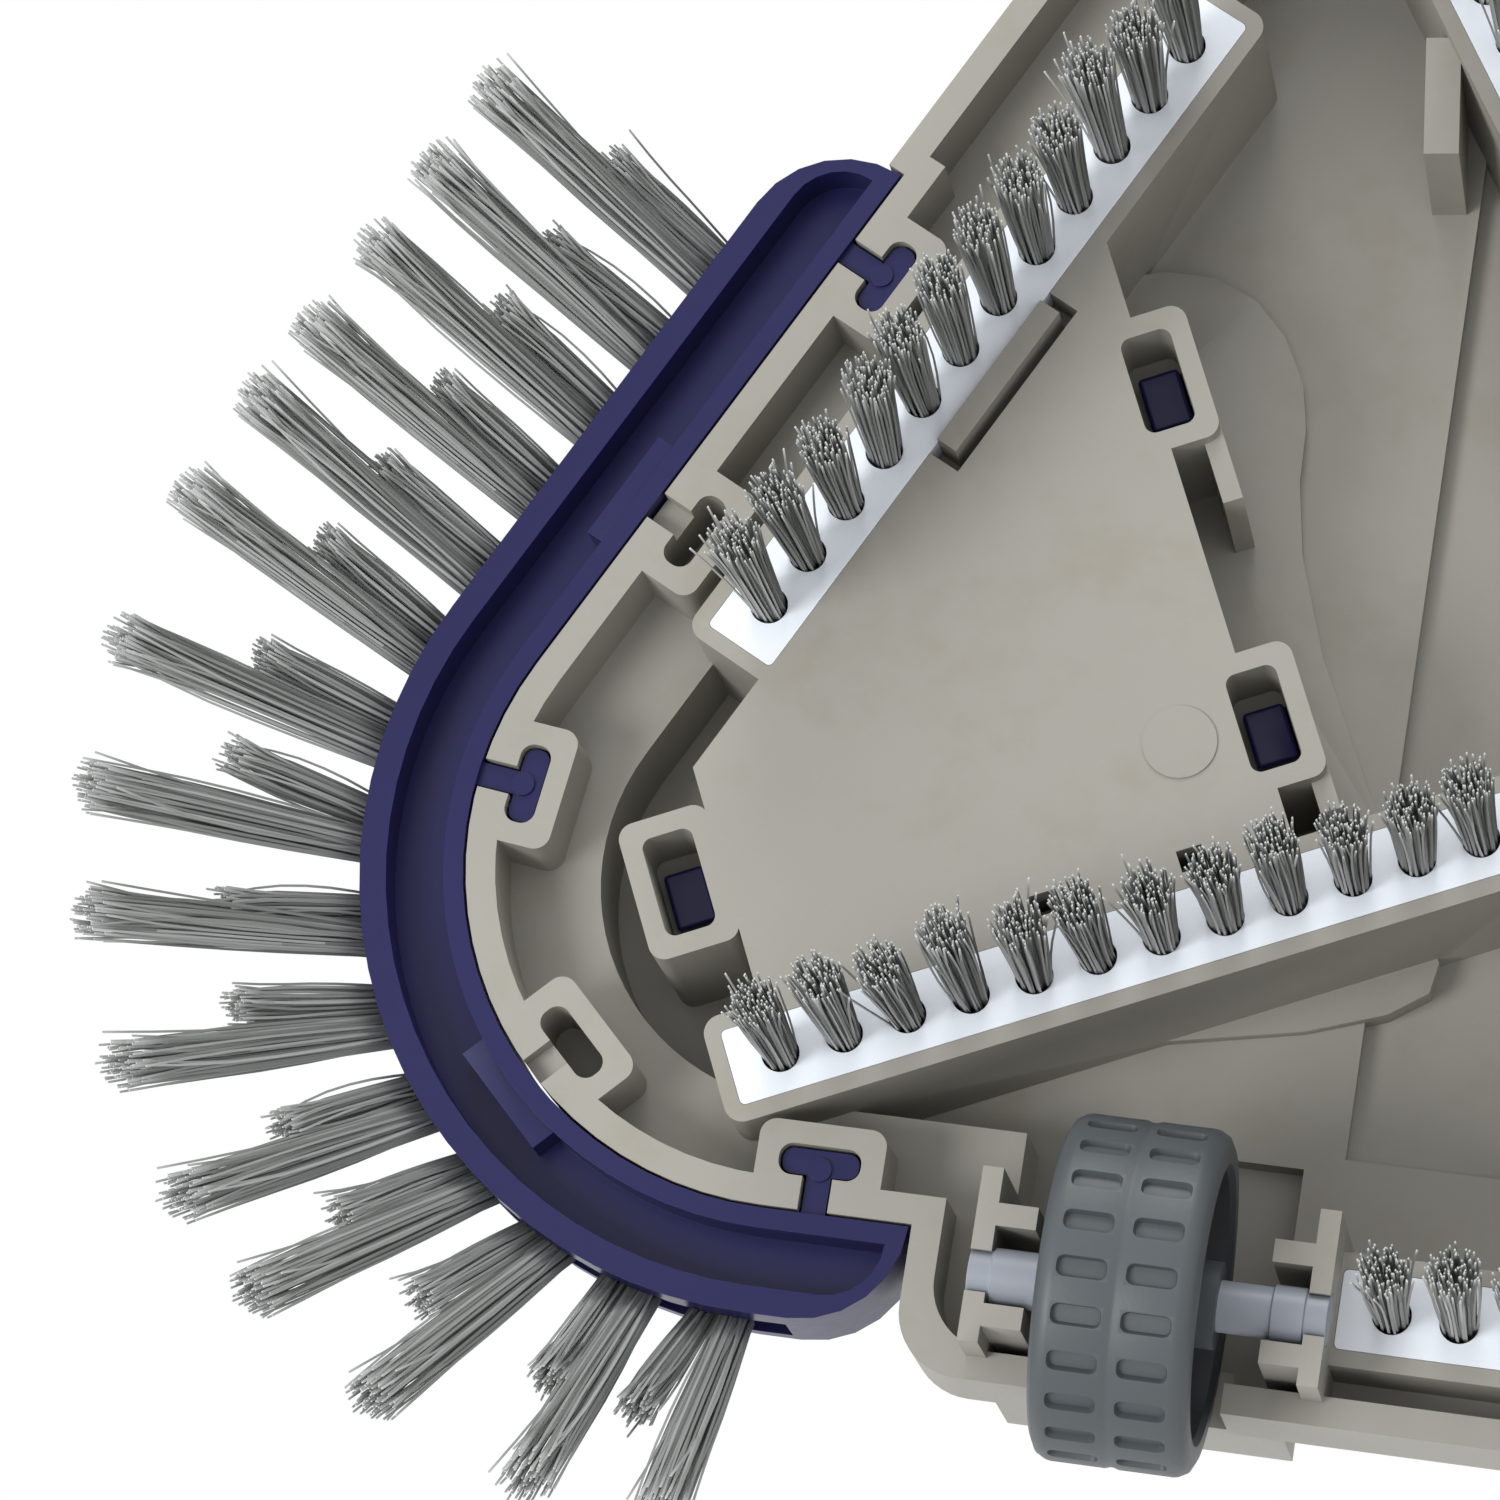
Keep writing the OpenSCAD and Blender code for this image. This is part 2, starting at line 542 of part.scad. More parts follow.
// ---- side bristles: a long and a short row on one band ----
tip_z = 0.4;                              // height of every tuft's tip
tuft_root = [0.8, (band_z[0] + band_z[1]) / 2];
short_share = 0.56;
short_at = 3.6;                           // from a long tuft's root to its short one's
tip_at = tip_z + 2;
module side_tuft(share, up, r1, r2) {
    run = share * (side_reach - tuft_root[0]);
    drop = share * (tuft_root[1] - tip_at);
    translate([tuft_root[0], 0, tuft_root[1] + up]) rotate([0, 90 + atan(drop / run), 0])
        cylinder(h = sqrt(run * run + drop * drop), r1 = r1, r2 = r2);
}
module side_bristles(c, arms) color([0.53, 0.55, 0.55]) {
    ends = band_arms(arms);
    room = arc_len(c, outer_r) + ends[0] + ends[1];
    // each long tuft has a short one beside it, so the pairs are set off by half their distance
    n = floor((room - 5 - short_at) / side_pitch) + 1;
    first = middle(c, ends, outer_r) - (n - 1) / 2 * side_pitch - short_at / 2;
    translate([0, 0, band_z[0]]) linear_extrude(band_z[1] - band_z[0])
        polygon(band_points(c, ends, outer_r - band_set, outer_r + band_out));
    for (k = [0:n - 1]) at_spot(c, first + k * side_pitch, outer_r) side_tuft(1, 0, 1.9, 2.6);
    for (k = [0:n - 1]) at_spot(c, first + k * side_pitch + short_at, outer_r)
        side_tuft(short_share, 1, 1.6, 2.2);
}
module side_bristles_left() { side_bristles(corner_left, arms_left); }
module side_bristles_right() { right_copy() side_bristles_left(); }
module side_bristles_front() { side_bristles(corner_front, arms_front); }

// ---- brush strips and the rows of tufts in them ----
tuft_r = tuft_d / 2;
tuft_flare = 1.5;
row_w = tuft_d + 0.8;                     // width of the bar that joins a row's tufts
bar_z = rim_z + strip_t / 2;
function row_len(n) = (n - 1) * tuft_pitch + tuft_d + 1;
module each_tuft(n) { for (k = [0:n - 1]) translate([(k - (n - 1) / 2) * tuft_pitch, 0, 0]) children(); }
module strip(p) color([0.92, 0.93, 0.94]) at_place(p) difference() {
    translate([0, 0, rim_z]) linear_extrude(strip_t) plate_shape(strip_len(p[2]), strip_w, strip_corner);
    translate([-row_len(p[2]) / 2, -row_w / 2, bar_z]) cube([row_len(p[2]), row_w, strip_t]);
    each_tuft(p[2]) translate([0, 0, rim_z - 1]) cylinder(h = strip_t, r = tuft_r);
}
module row(p) color([0.53, 0.55, 0.55]) at_place(p) {
    translate([-row_len(p[2]) / 2, -row_w / 2, bar_z]) cube([row_len(p[2]), row_w, strip_t / 2]);
    each_tuft(p[2]) {
        translate([0, 0, tip_z]) cylinder(h = rim_z - tip_z, r1 = tuft_flare * tuft_r, r2 = tuft_r);
        translate([0, 0, rim_z]) cylinder(h = strip_t / 2 + 0.5, r = tuft_r);
    }
}
module side_strip_left() { strip(side_place); }
module side_strip_right() { right_copy() side_strip_left(); }
module inner_strip_left() { strip(inner_place); }
module inner_strip_right() { right_copy() inner_strip_left(); }
module front_strip_left() { strip(front_place); }
module front_strip_right() { right_copy() front_strip_left(); }
module rear_strip() { strip(rear_place); }
module side_row_left() { row(side_place); }
module side_row_right() { right_copy() side_row_left(); }
module inner_row_left() { row(inner_place); }
module inner_row_right() { right_copy() inner_row_left(); }
module front_row_left() { row(front_place); }
module front_row_right() { right_copy() front_row_left(); }
module rear_row() { row(rear_place); }

// ---- wheels and axles; x is outward from the middle of the head ----
hub_r = axle_r + 1.4;
hub_l = wheel_w + 1.2;
tread_t = 4;
wheel_chamfer = 1.6;
module wheel(x, y) color([0.33, 0.36, 0.38]) translate([x, y, wheel_r]) rotate([0, 90, 0]) difference() {
    union() {
        rotate_extrude() polygon([
            [0, -wheel_w / 2], [wheel_r - wheel_chamfer, -wheel_w / 2],
            [wheel_r, -wheel_w / 2 + wheel_chamfer], [wheel_r, wheel_w / 2 - wheel_chamfer],
            [wheel_r - wheel_chamfer, wheel_w / 2], [0, wheel_w / 2]
        ]);
        translate([0, 0, -hub_l / 2]) cylinder(h = hub_l, r = hub_r);
    }
    // hollow between the tread and the hub, open to the middle of the head
    difference() {
        translate([0, 0, -wheel_w / 2 - 1]) cylinder(h = wheel_w - 3, r = wheel_r - tread_t);
        translate([0, 0, -wheel_w]) cylinder(h = 2 * wheel_w, r = hub_r + 2.2);
    }
    translate([0, 0, -hub_l]) cylinder(h = 2 * hub_l, r = axle_r);
}
end_play = 0.2;
module axle(x, y) color([0.45, 0.48, 0.50]) translate([x, y, wheel_r]) rotate([0, 90, 0]) {
    // fixed in its wheel, it turns in its brackets
    translate([0, 0, -bracket_end(1)]) cylinder(h = bracket_end(0) + bracket_end(1), r = axle_r);
    for (side = [0, 1]) mirror([0, 0, side]) {
        out = bracket_end(side) - bracket_t - end_play;
        from = side > 0 ? out - 3.4 : hub_l / 2 + 0.05;
        translate([0, 0, from]) cylinder(h = out - from, r = axle_r + collar_t);
    }
}
module wheel_left() { mirror([1, 0, 0]) wheel(wheel_x, axle_y); }
module wheel_right() { wheel(wheel_x, axle_y); }
module wheel_front() { wheel(0, nose_wheel_y); }
module axle_left() { mirror([1, 0, 0]) axle(wheel_x, axle_y); }
module axle_right() { axle(wheel_x, axle_y); }
module axle_front() { axle(0, nose_wheel_y); }

// ---- weights and their covers ----
toe = 1.4;
module cover() color([0.10, 0.11, 0.33]) in_bay() {
    translate([0, 0, cover_floor]) linear_extrude(cover_t) polygon(cover_points(0));
    for (h = hooks) translate([h[0] - hook[0] / 2 + seat_gap, h[1] - leg_w / 2, 0]) {
        translate([0, 0, rim_z + hook_ledge - toe_h])
            cube([leg_t, leg_w, cover_floor - rim_z - hook_ledge + toe_h + 1]);
        translate([0, 0, rim_z + hook_ledge - toe_h]) cube([leg_t + toe, leg_w, toe_h]);
    }
}
module cover_left() { cover(); }
module cover_right() { right_copy() cover(); }
module weight() color([0.36, 0.37, 0.38]) in_bay()
    translate([0, 0, rim_z + deck_t]) linear_extrude(weight_t) polygon(bay_points(seat_gap));
module weight_left() { weight(); }
module weight_right() { right_copy() weight(); }

// ---- hose cuff and its swivel ----
cuff_r = cuff_d / 2;
flange_t = 4;
flange_z = ledge_z + 0.1;
ring_t = 3;
seal_t = 1.2;
screw_deep = 8;
module seal_ring(grow) {
    translate([0, 0, ledge_z - seal_t]) difference() {
        cylinder(h = seal_t + (grow > 0 ? 0 : 1), r = port_r - 0.8);
        translate([0, 0, -1]) cylinder(h = seal_t + 3, r = port_r - ledge + 0.8);
    }
}
shoulder = 0.8;                           // stop for the hose, which also turns in the ring
module hose_cuff() color([0.60, 0.58, 0.54]) difference() {
    top = boss_top + ring_t + cuff_h;
    union() {
        translate([0, 0, flange_z]) cylinder(h = flange_t, r = port_r - run_gap);
        translate([0, 0, flange_z]) cylinder(h = boss_top + ring_t + 2 - flange_z, r = cuff_r + shoulder);
        translate([0, 0, flange_z]) cylinder(h = top - flange_z - 1.2, r = cuff_r);
        translate([0, 0, top - 1.2]) cylinder(h = 1.2, r1 = cuff_r, r2 = cuff_r - 0.8);
    }
    cylinder(h = far, r = cuff_r - cuff_wall);
}
module swivel_ring() color([0.10, 0.11, 0.33]) difference() {
    low = flange_z + flange_t + 0.1;
    union() {
        translate([0, 0, low]) cylinder(h = boss_top - low + eps, r = port_r - 0.15);
        translate([0, 0, boss_top]) cylinder(h = ring_t, r = boss_r + ring_lip);
    }
    cylinder(h = far, r = cuff_r + shoulder + run_gap);
    each_ring_screw() cylinder(h = far, r = screw_r + 0.2);
}
module swivel_seal() color([0.10, 0.10, 0.10]) seal_ring(1);
module pan_screw(under) {
    // screw with its head's underside at a height, driven to the end of its hole
    translate([0, 0, under]) cylinder(h = 1.8, r = 2 * screw_r - 0.2);
}
module ring_screws() color([0.72, 0.73, 0.75]) each_ring_screw() {
    pan_screw(boss_top + ring_t);
    translate([0, 0, boss_top - screw_deep + 1]) cylinder(h = screw_deep + ring_t, r = screw_r);
}

// ---- handle ----
pin_r = pin_d / 2;
plug_r = plug_d / 2;
hub_w = plug_d - 0.8;
hinge_r = 9;
hinge_lug_t = 5;
hinge_gap = 0.2;
pivot_z = roof_top + bracket_plate[2] + hinge_r + 1;
neck = 2 * hinge_r;                       // thickness of the handle's neck
plug_from = 22;                           // from the pivot to the plug
stop_gap = 0.05;
module at_handle() { translate([0, pivot_y, pivot_z]) rotate([lean, 0, 0]) children(); }
module along_x(l, r) { translate([-l / 2, 0, 0]) rotate([0, 90, 0]) cylinder(h = l, r = r); }
lug_out = hub_w / 2 + hinge_gap + hinge_lug_t;
function stop_top(y) = pivot_z + y * tan(lean) - (neck / 2 + stop_gap) / cos(lean);
module handle_bracket() color([0.60, 0.58, 0.54]) difference() {
    plate_top = roof_top + bracket_plate[2];
    stop = [bracket_plate[1] / 2 - 5, bracket_plate[1] / 2];
    union() {
        translate([-bracket_plate[0] / 2, pivot_y - bracket_plate[1] / 2, roof_top]) cube(bracket_plate);
        for (side = [-1, 1]) translate([side * (lug_out - hinge_lug_t / 2), pivot_y, 0]) {
            translate([0, 0, pivot_z]) along_x(hinge_lug_t, hinge_r - 1);
            translate([-hinge_lug_t / 2, 1 - hinge_r, roof_top + 1])
                cube([hinge_lug_t, 2 * hinge_r - 2, pivot_z - roof_top - 1]);
        }
        // stop that the handle lies back on
        translate([-hub_w / 2 + 2, pivot_y, 0]) rotate([90, 0, 90]) linear_extrude(hub_w - 4) polygon([
            [stop[0], plate_top - 1], [stop[1], plate_top - 1],
            [stop[1], stop_top(stop[1])], [stop[0], stop_top(stop[0])]
        ]);
    }
    translate([0, pivot_y, pivot_z]) along_x(2 * lug_out + 2, pin_r);
    each_screw() cylinder(h = far, r = screw_r + 0.2);
}
module bracket_screws() color([0.72, 0.73, 0.75]) each_screw() {
    pan_screw(roof_top + bracket_plate[2]);
    translate([0, 0, roof_top - screw_deep + 1])
        cylinder(h = screw_deep + bracket_plate[2], r = screw_r);
}
bore_from = plug_from + 4;
post_at = plug_from + 20;                 // post that the spring clip hooks over
post_r = 2.5;
button_at = plug_from + 50;
button_gap = 1.1;
land = 8;
waist = 0.4;
module handle() color([0.60, 0.58, 0.54]) at_handle() {
    difference() {
        union() {
            along_x(hub_w, hinge_r);
            translate([-hub_w / 2, 0, -neck / 2]) cube([hub_w, plug_from + 2, neck]);
            translate([0, plug_from, 0]) rotate([-90, 0, 0]) {
                // two lands with a waist between them
                cylinder(h = plug_len, r = plug_r - waist);
                cylinder(h = land, r = plug_r);
                translate([0, 0, button_at - plug_from + land]) cylinder(
                    h = plug_len - button_at + plug_from - land, r = plug_r);
            }
        }
        along_x(plug_d + 2, pin_r + run_gap);
        translate([0, bore_from, 0]) rotate([-90, 0, 0]) cylinder(h = far, r = plug_r - plug_wall);
        translate([0, button_at, 0]) along_x(plug_d + 2, button_d / 2 + button_gap);
    }
    translate([0, post_at, -plug_r + 1]) cylinder(h = 2 * plug_r - 2, r = post_r);
}
pin_groove = 1;
module handle_pin() color([0.72, 0.73, 0.75]) translate([0, pivot_y, pivot_z]) difference() {
    union() {
        translate([2, 0, 0]) along_x(2 * lug_out + 4, pin_r);
        translate([-lug_out - 1, 0, 0]) along_x(2, pin_r + 1.6);
    }
    translate([lug_out + 0.2 + pin_groove / 2, 0, 0]) difference() {
        along_x(pin_groove, pin_r + 1);
        along_x(pin_groove + 2, pin_r - 0.8);
    }
}
module pin_clip() color([0.30, 0.31, 0.33])
    translate([lug_out + 0.2 + pin_groove / 2, pivot_y, pivot_z]) difference() {
        along_x(pin_groove - 0.1, pin_r + 2);
        along_x(pin_groove + 1, pin_r - 0.8);
        translate([-2, -pin_r + 1, -far]) cube([4, 2 * pin_r - 2, far]);
    }

// ---- spring clip in the plug ----
clip_t = 0.8;
clip_w = 8;
clip_r = post_r + 0.1 + clip_t / 2;       // middle of the bend
clip_gap = 0.05;
arm_slope = 10;
arm_l = (button_at - post_at) / cos(arm_slope) + button_d / 2 + 1;
module clip_bend() color([0.72, 0.73, 0.75]) at_handle() translate([0, post_at, -clip_w / 2]) difference() {
    cylinder(h = clip_w, r = clip_r + clip_t / 2);
    translate([0, 0, -1]) cylinder(h = clip_w + 2, r = clip_r - clip_t / 2);
    translate([-far / 2, -clip_gap, -1]) cube([far, far, clip_w + 2]);
}
module clip_arm_right() color([0.72, 0.73, 0.75]) at_handle() translate([clip_r, post_at, 0]) {
    rotate([0, 0, -arm_slope]) {
        translate([-clip_t / 2, clip_gap, -clip_w / 2]) cube([clip_t, arm_l, clip_w]);
    }
    reach = (button_at - post_at) * tan(arm_slope);
    translate([reach, button_at - post_at, 0]) rotate([0, 90, 0])
        cylinder(h = plug_r + 3 - clip_r - reach, r = button_d / 2);
}
module clip_arm_left() { mirror([1, 0, 0]) clip_arm_right(); }

// The middle of the whole head, bristles and handle included, lies over the origin.
tip_out = 1.86;                           // how far a flared tuft ends past its reach
front_tip = nose_y - outer_r - side_reach - tip_out;
rear_tip = pivot_y + (plug_from + plug_len) * cos(lean) + plug_r * sin(lean);
module placed() { translate([0, -(front_tip + rear_tip) / 2, 0]) children(); }

placed() base_shell();
placed() bumper_left();
placed() bumper_right();
placed() bumper_front();
placed() side_bristles_left();
placed() side_bristles_right();
placed() side_bristles_front();
placed() side_strip_left();
placed() side_strip_right();
placed() inner_strip_left();
placed() inner_strip_right();
placed() front_strip_left();
placed() front_strip_right();
placed() rear_strip();
placed() side_row_left();
placed() side_row_right();
placed() inner_row_left();
placed() inner_row_right();
placed() front_row_left();
placed() front_row_right();
placed() rear_row();
placed() wheel_left();
placed() wheel_right();
placed() wheel_front();
placed() axle_left();
placed() axle_right();
placed() axle_front();
placed() cover_left();
placed() cover_right();
placed() weight_left();
placed() weight_right();
placed() hose_cuff();
placed() swivel_ring();
placed() swivel_seal();
placed() ring_screws();
placed() handle_bracket();
placed() bracket_screws();
placed() handle();
placed() handle_pin();
placed() pin_clip();
placed() clip_bend();
placed() clip_arm_left();
placed() clip_arm_right();
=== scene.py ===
"""Finished look of a triangular pool vacuum head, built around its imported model."""

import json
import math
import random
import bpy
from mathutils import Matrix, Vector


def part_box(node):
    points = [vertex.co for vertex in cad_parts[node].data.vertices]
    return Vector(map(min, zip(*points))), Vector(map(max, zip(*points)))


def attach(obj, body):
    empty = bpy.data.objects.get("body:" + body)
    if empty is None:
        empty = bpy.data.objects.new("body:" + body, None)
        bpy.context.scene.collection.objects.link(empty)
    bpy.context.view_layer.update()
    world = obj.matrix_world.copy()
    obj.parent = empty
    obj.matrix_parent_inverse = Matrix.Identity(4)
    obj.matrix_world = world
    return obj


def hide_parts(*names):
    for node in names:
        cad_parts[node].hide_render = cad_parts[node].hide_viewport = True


bl_info = {
    "name": "Pool Vacuum Head",
    "version": (1, 0, 0),
    "blender": (4, 5, 0),
    "location": "3D View > Sidebar > Vacuum Head",
    "description": "Builds the shell, bumpers, bristles, wheels and fittings of a pool vacuum head",
    "category": "Object",
}

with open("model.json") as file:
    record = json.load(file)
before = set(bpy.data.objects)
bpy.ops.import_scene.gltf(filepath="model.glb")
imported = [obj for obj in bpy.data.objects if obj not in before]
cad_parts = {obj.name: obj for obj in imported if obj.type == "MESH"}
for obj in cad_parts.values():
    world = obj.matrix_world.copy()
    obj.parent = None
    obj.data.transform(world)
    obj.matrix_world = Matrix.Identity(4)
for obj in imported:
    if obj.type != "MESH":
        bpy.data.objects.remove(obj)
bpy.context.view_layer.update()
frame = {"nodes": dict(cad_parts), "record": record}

import bmesh
import bpy
from mathutils import Matrix, Vector


# ---- places that come from the frame ----

def middle_of(node):
    """Centre of a CAD node's box."""
    low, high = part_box(node)
    return (low + high) / 2


HOSE = middle_of("hose_cuff")
HOSE_FLOOR = Vector((HOSE.x, HOSE.y, 0))


def long_axis(node):
    """Unit vector in plan along a long node, from its vertices' spread."""
    points = [v.co for v in frame["nodes"][node].data.vertices]
    mean = sum(points, Vector()) / len(points)
    xx = sum((p.x - mean.x) ** 2 for p in points)
    yy = sum((p.y - mean.y) ** 2 for p in points)
    xy = sum((p.x - mean.x) * (p.y - mean.y) for p in points)
    angle = math.atan2(2 * xy, xx - yy) / 2
    return Vector((math.cos(angle), math.sin(angle), 0))


def direction(angle):
    return Vector((math.cos(angle), math.sin(angle), 0))


class Corner:
    """One bumper's seat: an arc with a straight arm at each end, followed anticlockwise."""

    def __init__(self, centre, start, turn, arms):
        self.centre = HOSE_FLOOR + Vector((centre[0], centre[1], 0))
        self.start, self.turn, self.arms = start, turn, arms

    def spot(self, s, r):
        """Point and outward angle at a distance s along the path of radius r."""
        bend = self.turn * r
        angle = self.start + min(max(s / r, 0), self.turn)
        along = s if s < 0 else max(s - bend, 0)
        point = self.centre + r * direction(angle) + along * direction(angle + math.pi / 2)
        return point, angle


def corners(size):
    """The left rear corner and the nose; the right rear corner is the left one's mirror image."""
    side = math.radians(270) - size.base_angle
    nose = (0, size.rear_set - size.half_base * math.tan(size.base_angle))
    return {
        "left": Corner((-size.half_base, size.rear_set), math.pi / 2, side - math.pi / 2,
                       (size.arm_rear, size.arm_side)),
        "front": Corner(nose, side, math.radians(540) - 2 * side,
                        (size.arm_front, size.arm_front)),
    }


# ---- shader expressions ----

class Value:
    """A shader socket that takes part in Python expressions."""

    def __init__(self, shader, socket):
        self.shader, self.socket = shader, socket

    def _math(self, operation, a, b):
        return self.shader.node("ShaderNodeMath", {"operation": operation}, {0: a, 1: b})

    def __add__(self, other):
        return self._math("ADD", self, other)

    def __radd__(self, other):
        return self._math("ADD", other, self)

    def __sub__(self, other):
        return self._math("SUBTRACT", self, other)

    def __rsub__(self, other):
        return self._math("SUBTRACT", other, self)

    def __mul__(self, other):
        return self._math("MULTIPLY", self, other)

    def __rmul__(self, other):
        return self._math("MULTIPLY", other, self)

    def between(self, low, high):
        """0 below low, 1 above high, smooth in between."""
        return self.shader.node("ShaderNodeMapRange", {"interpolation_type": "SMOOTHSTEP"},
                                {"Value": self, "From Min": low, "From Max": high}, "Result")


class Shader:
    """Builds one node material."""

    def __init__(self, name):
        self.material = bpy.data.materials.new(name)
        self.material.use_nodes = True
        self.tree = self.material.node_tree
        self.surface = self.tree.nodes["Principled BSDF"]
        self._place = None

    def feed(self, socket, value):
        if isinstance(value, Value):
            self.tree.links.new(value.socket, socket)
        elif isinstance(value, (tuple, list)) and len(value) == 3 and socket.type == "RGBA":
            socket.default_value = (*value, 1)
        else:
            socket.default_value = value

    def node(self, kind, settings=None, inputs=None, output=0):
        made = self.tree.nodes.new(kind)
        for key, value in (settings or {}).items():
            if key == "stops":
                ramp = made.color_ramp
                while len(ramp.elements) < len(value):
                    ramp.elements.new(1)
                for element, (position, colour) in zip(ramp.elements, value):
                    element.position = position
                    element.color = (*colour, 1)
            else:
                setattr(made, key, value)
        for key, value in (inputs or {}).items():
            self.feed(made.inputs[key], value)
        return Value(self, made.outputs[output])

    @property
    def place(self):
        """Object coordinates, in metres."""
        if self._place is None:
            self._place = self.node("ShaderNodeTexCoord", output="Object")
        return self._place

    def noise(self, size, detail=2.0, rough=0.5, output="Fac"):
        """Noise whose lumps are about size metres across."""
        return self.node("ShaderNodeTexNoise", None, {
            "Vector": self.place, "Scale": 1 / size, "Detail": detail, "Roughness": rough}, output)

    def attribute(self, name):
        return self.node("ShaderNodeAttribute", {"attribute_name": name}, None, "Fac")

    def mix(self, amount, first, second):
        """Colour between two colours."""
        return self.node("ShaderNodeMix", {"data_type": "RGBA"},
                         {0: amount, 6: first, 7: second}, 2)

    def bump(self, height, distance, strength=1.0, normal=None):
        inputs = {"Height": height, "Distance": distance, "Strength": strength}
        if normal is not None:
            inputs["Normal"] = normal
        return self.node("ShaderNodeBump", None, inputs, "Normal")

    def set(self, **sockets):
        """Principled inputs by name, with _ for a space."""
        for key, value in sockets.items():
            self.feed(self.surface.inputs[key.replace("_", " ")], value)
        return self.material


def tint(colour, factor):
    return tuple(min(1.0, c * factor) for c in colour)


def moulded(name, colour, rough, grain=0.00035, depth=0.00002, stain=0.0, coat=0.0,
            gloss=0.5):
    """Moulded plastic: fine skin texture, faint cloudiness, and dust in broad patches."""
    sh = Shader(name)
    cloud = sh.noise(0.030, 3.0)
    speck = sh.noise(0.0011, 3.0, 0.6)
    skin = sh.noise(grain, 2.0, 0.6)
    base = sh.mix(cloud, tint(colour, 0.95), tint(colour, 1.05))
    base = sh.mix(speck.between(0.60, 0.80) * 0.16, base, tint(colour, 1.25))
    if stain:
        dirt = sh.noise(0.016, 4.0, 0.65).between(0.50, 0.72)
        warm = (colour[0] * 0.82, colour[1] * 0.72, colour[2] * 0.58)
        base = sh.mix(dirt * stain, base, warm)
    shine = rough + (cloud - 0.5) * 0.10 + (speck - 0.5) * 0.10
    wave = sh.bump(sh.noise(0.006, 1.0), 0.00004, 0.5)
    sh.set(Base_Color=base, Roughness=shine, Normal=sh.bump(skin, depth, 0.6, wave),
           IOR=1.49, Specular_IOR_Level=gloss, Coat_Weight=coat, Coat_Roughness=0.25)
    return sh.material


def filament(name, dark, light):
    """Nylon filaments: each with its own shade, darker at the root with painted shade among the
    packed filaments, and frayed pale at the tip.
    """
    sh = Shader(name)
    shade = sh.attribute("shade")
    along = sh.attribute("along")
    base = sh.mix(shade, dark, light)
    # painted shade: the root quarter of each filament is darkened to stand in for the shade among
    # the packed filaments in the hole
    base = sh.mix((1 - along.between(0.0, 0.25)) * 0.25, base, tint(dark, 0.6))
    base = sh.mix(along.between(0.90, 1.0) * 0.5, base, tint(light, 1.4))
    sh.set(Base_Color=base, Roughness=0.42 + shade * 0.16,
           Normal=sh.bump(sh.noise(0.0006, 2.0), 0.00003, 0.3), IOR=1.53,
           Specular_IOR_Level=0.35)
    return sh.material


def metal(name, colour, rough, brush=0.0004):
    """Steel with fine drawn lines and faint handling marks."""
    sh = Shader(name)
    lines = sh.node("ShaderNodeTexNoise", None, {
        "Vector": sh.node("ShaderNodeMapping", None, {"Vector": sh.place, "Scale": (1, 1, 14)}),
        "Scale": 1 / brush, "Detail": 2.0})
    marks = sh.noise(0.004, 3.0)
    sh.set(Base_Color=sh.mix(marks, tint(colour, 0.9), tint(colour, 1.05)), Metallic=1.0,
           Roughness=rough + (marks - 0.5) * 0.15 + (lines - 0.5) * 0.12,
           Normal=sh.bump(lines, 0.00001, 0.4))
    return sh.material


def casting(name, colour):
    """Painted casting, lumpy under the paint."""
    sh = Shader(name)
    lump = sh.noise(0.0025, 4.0, 0.65)
    sh.set(Base_Color=sh.mix(lump, tint(colour, 0.8), tint(colour, 1.15)),
           Roughness=0.55 + (lump - 0.5) * 0.2, Normal=sh.bump(lump, 0.0002, 0.6))
    return sh.material


NAVY_SKIN = {"rough": 0.36, "grain": 0.0005, "depth": 0.000012, "coat": 0.06, "gloss": 0.32}
_materials = {}


def finish_of(slot):
    """The material of one of the record's slots, made once."""
    if slot not in _materials:
        colours = bpy.context.scene.vacuum_colours
        shell, navy = tuple(colours.shell), tuple(colours.navy)
        makers = {
            "shell": lambda: moulded("warm_grey_shell", shell, 0.50, stain=0.30),
            "cuff": lambda: moulded("warm_grey_cuff", shell, 0.46),
            "bracket": lambda: moulded("warm_grey_bracket", shell, 0.50),
            "handle": lambda: moulded("warm_grey_handle", shell, 0.48),
            "bumper": lambda: moulded("navy_bumper", navy, **NAVY_SKIN),
            "cover": lambda: moulded("navy_cover", navy, **NAVY_SKIN),
            "ring": lambda: moulded("navy_ring", navy, **NAVY_SKIN),
            "strip": lambda: moulded("white_strip", tuple(colours.strip), 0.45),
            "wheel": lambda: moulded("slate_wheel", tuple(colours.wheel), 0.48, 0.0006, 0.00003),
            "axle": lambda: moulded("grey_axle", tuple(colours.axle), 0.42),
            "bristle": lambda: filament("row_filament", tuple(colours.bristle_dark),
                                        tuple(colours.bristle_light)),
            "side_bristle": lambda: filament("side_filament", tuple(colours.bristle_dark),
                                             tuple(colours.bristle_light)),
            "weight": lambda: casting("painted_casting", (0.10, 0.10, 0.11)),
            "seal": lambda: moulded("black_seal", (0.02, 0.02, 0.02), 0.6),
            "screw": lambda: metal("stainless", (0.62, 0.61, 0.59), 0.28),
            "spring_steel": lambda: metal("spring_strip", (0.55, 0.54, 0.52), 0.34),
        }
        _materials[slot] = makers[slot]()
    return _materials[slot]


# ---- pieces ----

SLOT_OF = {e["node"]: e["material_slot"] for e in frame["record"]["subparts"]}
BODY_OF = {n: b for b, names in frame["record"]["behaviour"]["bodies"].items() for n in names}


def piece(name, bm, nodes, smooth=30):
    """Makes an object of a bmesh that stands for some CAD nodes, with their finish and body."""
    bmesh.ops.recalc_face_normals(bm, faces=bm.faces)
    return place_piece(name, bm, nodes, smooth)


